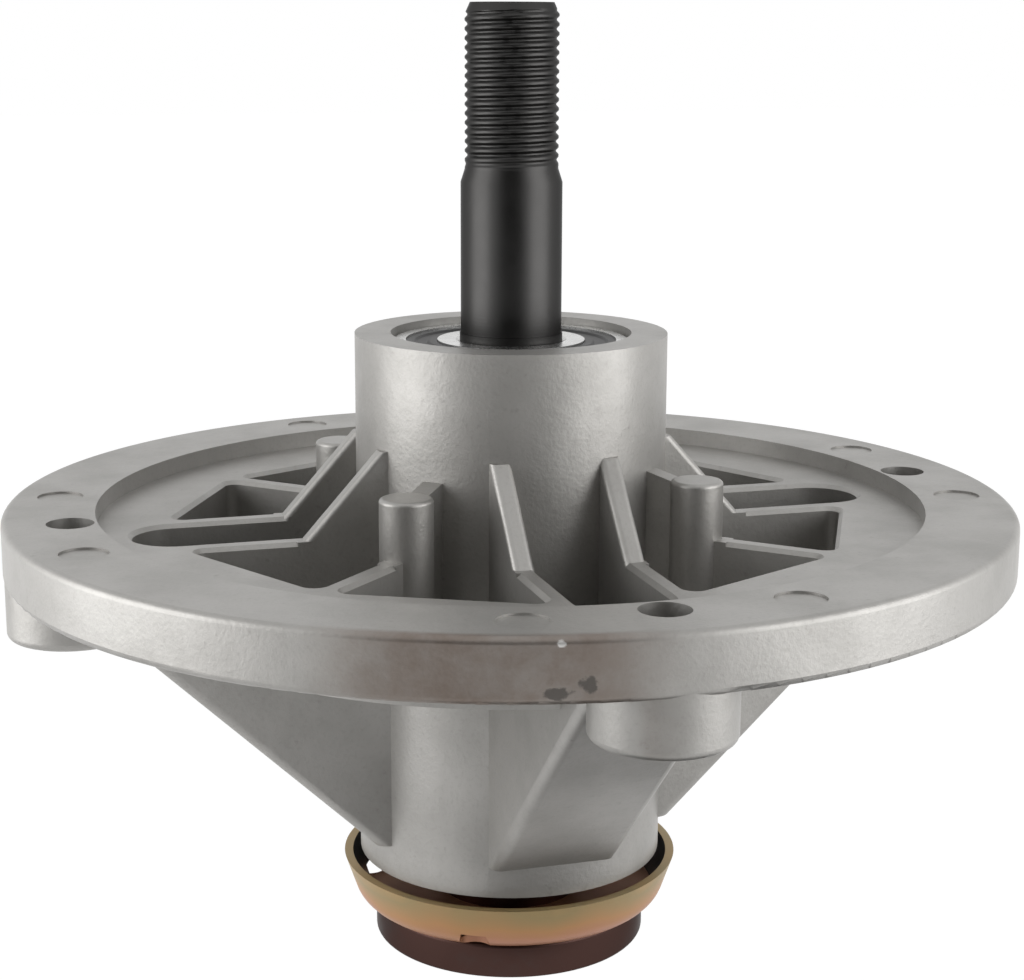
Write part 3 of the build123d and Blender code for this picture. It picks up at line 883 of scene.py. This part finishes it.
class SPINDLE_OT_studio(bpy.types.Operator):
    """Set up the floor, the world, the lamps, the dark sheets and the camera"""

    bl_idname = "spindle.studio"
    bl_label = "Studio"

    def execute(self, context):
        studio = context.scene.spindle_studio
        context.scene.view_settings.view_transform = "Standard"
        self.add_floor(context, studio)
        self.set_world(context, studio)
        self.add_lamps(context, studio)
        self.add_card(context, studio)
        self.add_camera(context, studio)
        return {"FINISHED"}

    def seen_plainly(self, bench):
        """1 for camera, mirror and see-through rays."""
        path = bench.node("ShaderNodeLightPath", {}, {})
        camera = Wire(bench, path.outputs["Is Camera Ray"])
        glossy = Wire(bench, path.outputs["Is Glossy Ray"])
        through = Wire(bench, path.outputs["Is Transmission Ray"])
        return bench.maths("MINIMUM", camera + glossy + through, 1.0)

    def add_floor(self, context, studio):
        """A wide white floor just under the part, which keeps a little of its shadow."""
        material, bench, shader = new_finish("floor_white")
        feed(bench, shader, {"Base Color": FLOOR_WHITE, "Roughness": MATT})
        glow = bench.out("ShaderNodeEmission", {}, {"Color": WHITE, "Strength": FLOOR_STRENGTH})
        share = self.seen_plainly(bench) * studio.floor_glow
        plain = Wire(bench, shader.outputs[0])
        mix = bench.out("ShaderNodeMixShader", {}, {0: share, 1: plain, 2: glow})
        ending = bench.tree.nodes["Material Output"]
        bench.tree.links.new(mix.socket, ending.inputs["Surface"])
        shape = bmesh.new()
        bmesh.ops.create_grid(shape, x_segments=1, y_segments=1, size=FLOOR_HALF_WIDTH)
        bmesh.ops.translate(shape, verts=shape.verts, vec=(0, 0, cad_box[0].z - studio.floor_gap))
        floor = new_piece(context, shape, "floor", material)

    def set_world(self, context, studio):
        """White where it is seen or mirrored, and a dimmer light on matt surfaces."""
        world = bpy.data.worlds.new("studio")
        world.use_nodes = True
        context.scene.world = world
        bench = Bench(world.node_tree)
        background = world.node_tree.nodes["Background"]
        strength = self.seen_plainly(bench) * (1 - studio.ambient) + studio.ambient
        feed(bench, background, {"Color": WHITE, "Strength": strength})

    def add_lamps(self, context, studio):
        """Two upright lamps, one on each side."""
        lamps = (
            ("left_lamp", studio.left_turn, studio.left_power, studio.left_height),
            ("right_lamp", studio.right_turn, studio.right_power, studio.right_height),
        )
        for name, turn, power, height in lamps:
            lamp = bpy.data.lights.new(name, "AREA")
            lamp.shape = "RECTANGLE"
            lamp.size = studio.lamp_width
            lamp.size_y = studio.lamp_tall
            lamp.energy = power
            holder = bpy.data.objects.new(name, lamp)
            bearing = studio.heading + turn
            reach = studio.lamp_reach
            holder.location = (reach * math.sin(bearing), -reach * math.cos(bearing), height)
            holder.rotation_euler = (math.pi / 2, 0, bearing)
            context.scene.collection.objects.link(holder)

    def add_card(self, context, studio):
        """A card behind the camera, and a mat just out of the picture that is painted shade for the floor
        in front of the part; both are seen only in the gloss.
        """
        foot = cad_box[0].z
        head = foot + studio.card_height
        card = -studio.card_distance
        card_half = studio.card_width / 2
        mat_half = studio.mat_width / 2
        sheets = (
            ("dark_card", 0.0, card_half, (card, foot), (card, head)),
            # The mat is painted shade: a dark sheet standing for the shaded floor just in front of the
            # part.
            ("floor_shade_mat", studio.mat_turn, mat_half, (-studio.mat_end, foot), (-studio.mat_start, foot)),
        )
        material, bench, shader = new_finish("card_black")
        feed(bench, shader, {"Base Color": CARD_BLACK, "Roughness": MATT})
        for name, aside, half, (near_along, near_height), (far_along, far_height) in sheets:
            turn = mathutils.Matrix.Rotation(studio.heading + aside, 3, "Z")
            corners = (
                turn @ mathutils.Vector((-half, near_along, near_height)),
                turn @ mathutils.Vector((half, near_along, near_height)),
                turn @ mathutils.Vector((half, far_along, far_height)),
                turn @ mathutils.Vector((-half, far_along, far_height)),
            )
            mesh = bpy.data.meshes.new(name)
            mesh.from_pydata(corners, [], [(0, 1, 2, 3)])
            mesh.materials.append(material)
            sheet = bpy.data.objects.new(name, mesh)
            sheet.visible_camera = False
            context.scene.collection.objects.link(sheet)

    def add_camera(self, context, studio):
        """The photo's view."""
        lens = bpy.data.cameras.new("photo_camera")
        lens.lens = studio.lens
        lens.sensor_width = SENSOR_WIDTH
        lens.shift_x = studio.slide
        lens.clip_start = CLIP_START
        camera = bpy.data.objects.new("photo_camera", lens)
        camera.location = (
            studio.distance * math.sin(studio.heading),
            -studio.distance * math.cos(studio.heading),
            studio.height,
        )
        turn = mathutils.Matrix.Rotation(studio.heading, 3, "Z")
        tilt = mathutils.Matrix.Rotation(math.pi / 2 - studio.pitch, 3, "X")
        roll = mathutils.Matrix.Rotation(studio.roll, 3, "Z")
        camera.rotation_euler = (turn @ tilt @ roll).to_euler()
        context.scene.collection.objects.link(camera)
        context.scene.camera = camera


class SPINDLE_PT_panel(bpy.types.Panel):
    """Buttons for the spindle's pieces"""

    bl_idname = "SPINDLE_PT_panel"
    bl_label = "Mower Deck Spindle"
    bl_space_type = "VIEW_3D"
    bl_region_type = "UI"
    bl_category = "Spindle"

    def draw(self, context):
        for operator in OPERATORS:
            self.layout.operator(operator.bl_idname)


OPERATORS = (
    SPINDLE_OT_casting,
    SPINDLE_OT_bearings,
    SPINDLE_OT_dust_cup,
    SPINDLE_OT_shaft,
    SPINDLE_OT_studio,
)
SETTINGS = (SpindleFinishes, CastingSizes, SpindleSizes, SpindleStudio)


def register():
    for settings in SETTINGS:
        bpy.utils.register_class(settings)
    bpy.types.Scene.spindle_finishes = bpy.props.PointerProperty(type=SpindleFinishes)
    bpy.types.Scene.casting_sizes = bpy.props.PointerProperty(type=CastingSizes)
    bpy.types.Scene.spindle_sizes = bpy.props.PointerProperty(type=SpindleSizes)
    bpy.types.Scene.spindle_studio = bpy.props.PointerProperty(type=SpindleStudio)
    for operator in OPERATORS:
        bpy.utils.register_class(operator)
    bpy.utils.register_class(SPINDLE_PT_panel)


def unregister():
    bpy.utils.unregister_class(SPINDLE_PT_panel)
    for operator in reversed(OPERATORS):
        bpy.utils.unregister_class(operator)
    del bpy.types.Scene.spindle_studio
    del bpy.types.Scene.spindle_sizes
    del bpy.types.Scene.casting_sizes
    del bpy.types.Scene.spindle_finishes
    for settings in reversed(SETTINGS):
        bpy.utils.unregister_class(settings)


def main():
    register()
    bpy.ops.spindle.casting()
    bpy.ops.spindle.bearings()
    bpy.ops.spindle.dust_cup()
    bpy.ops.spindle.shaft()
    bpy.ops.spindle.studio()


if __name__ == "__main__":
    main()
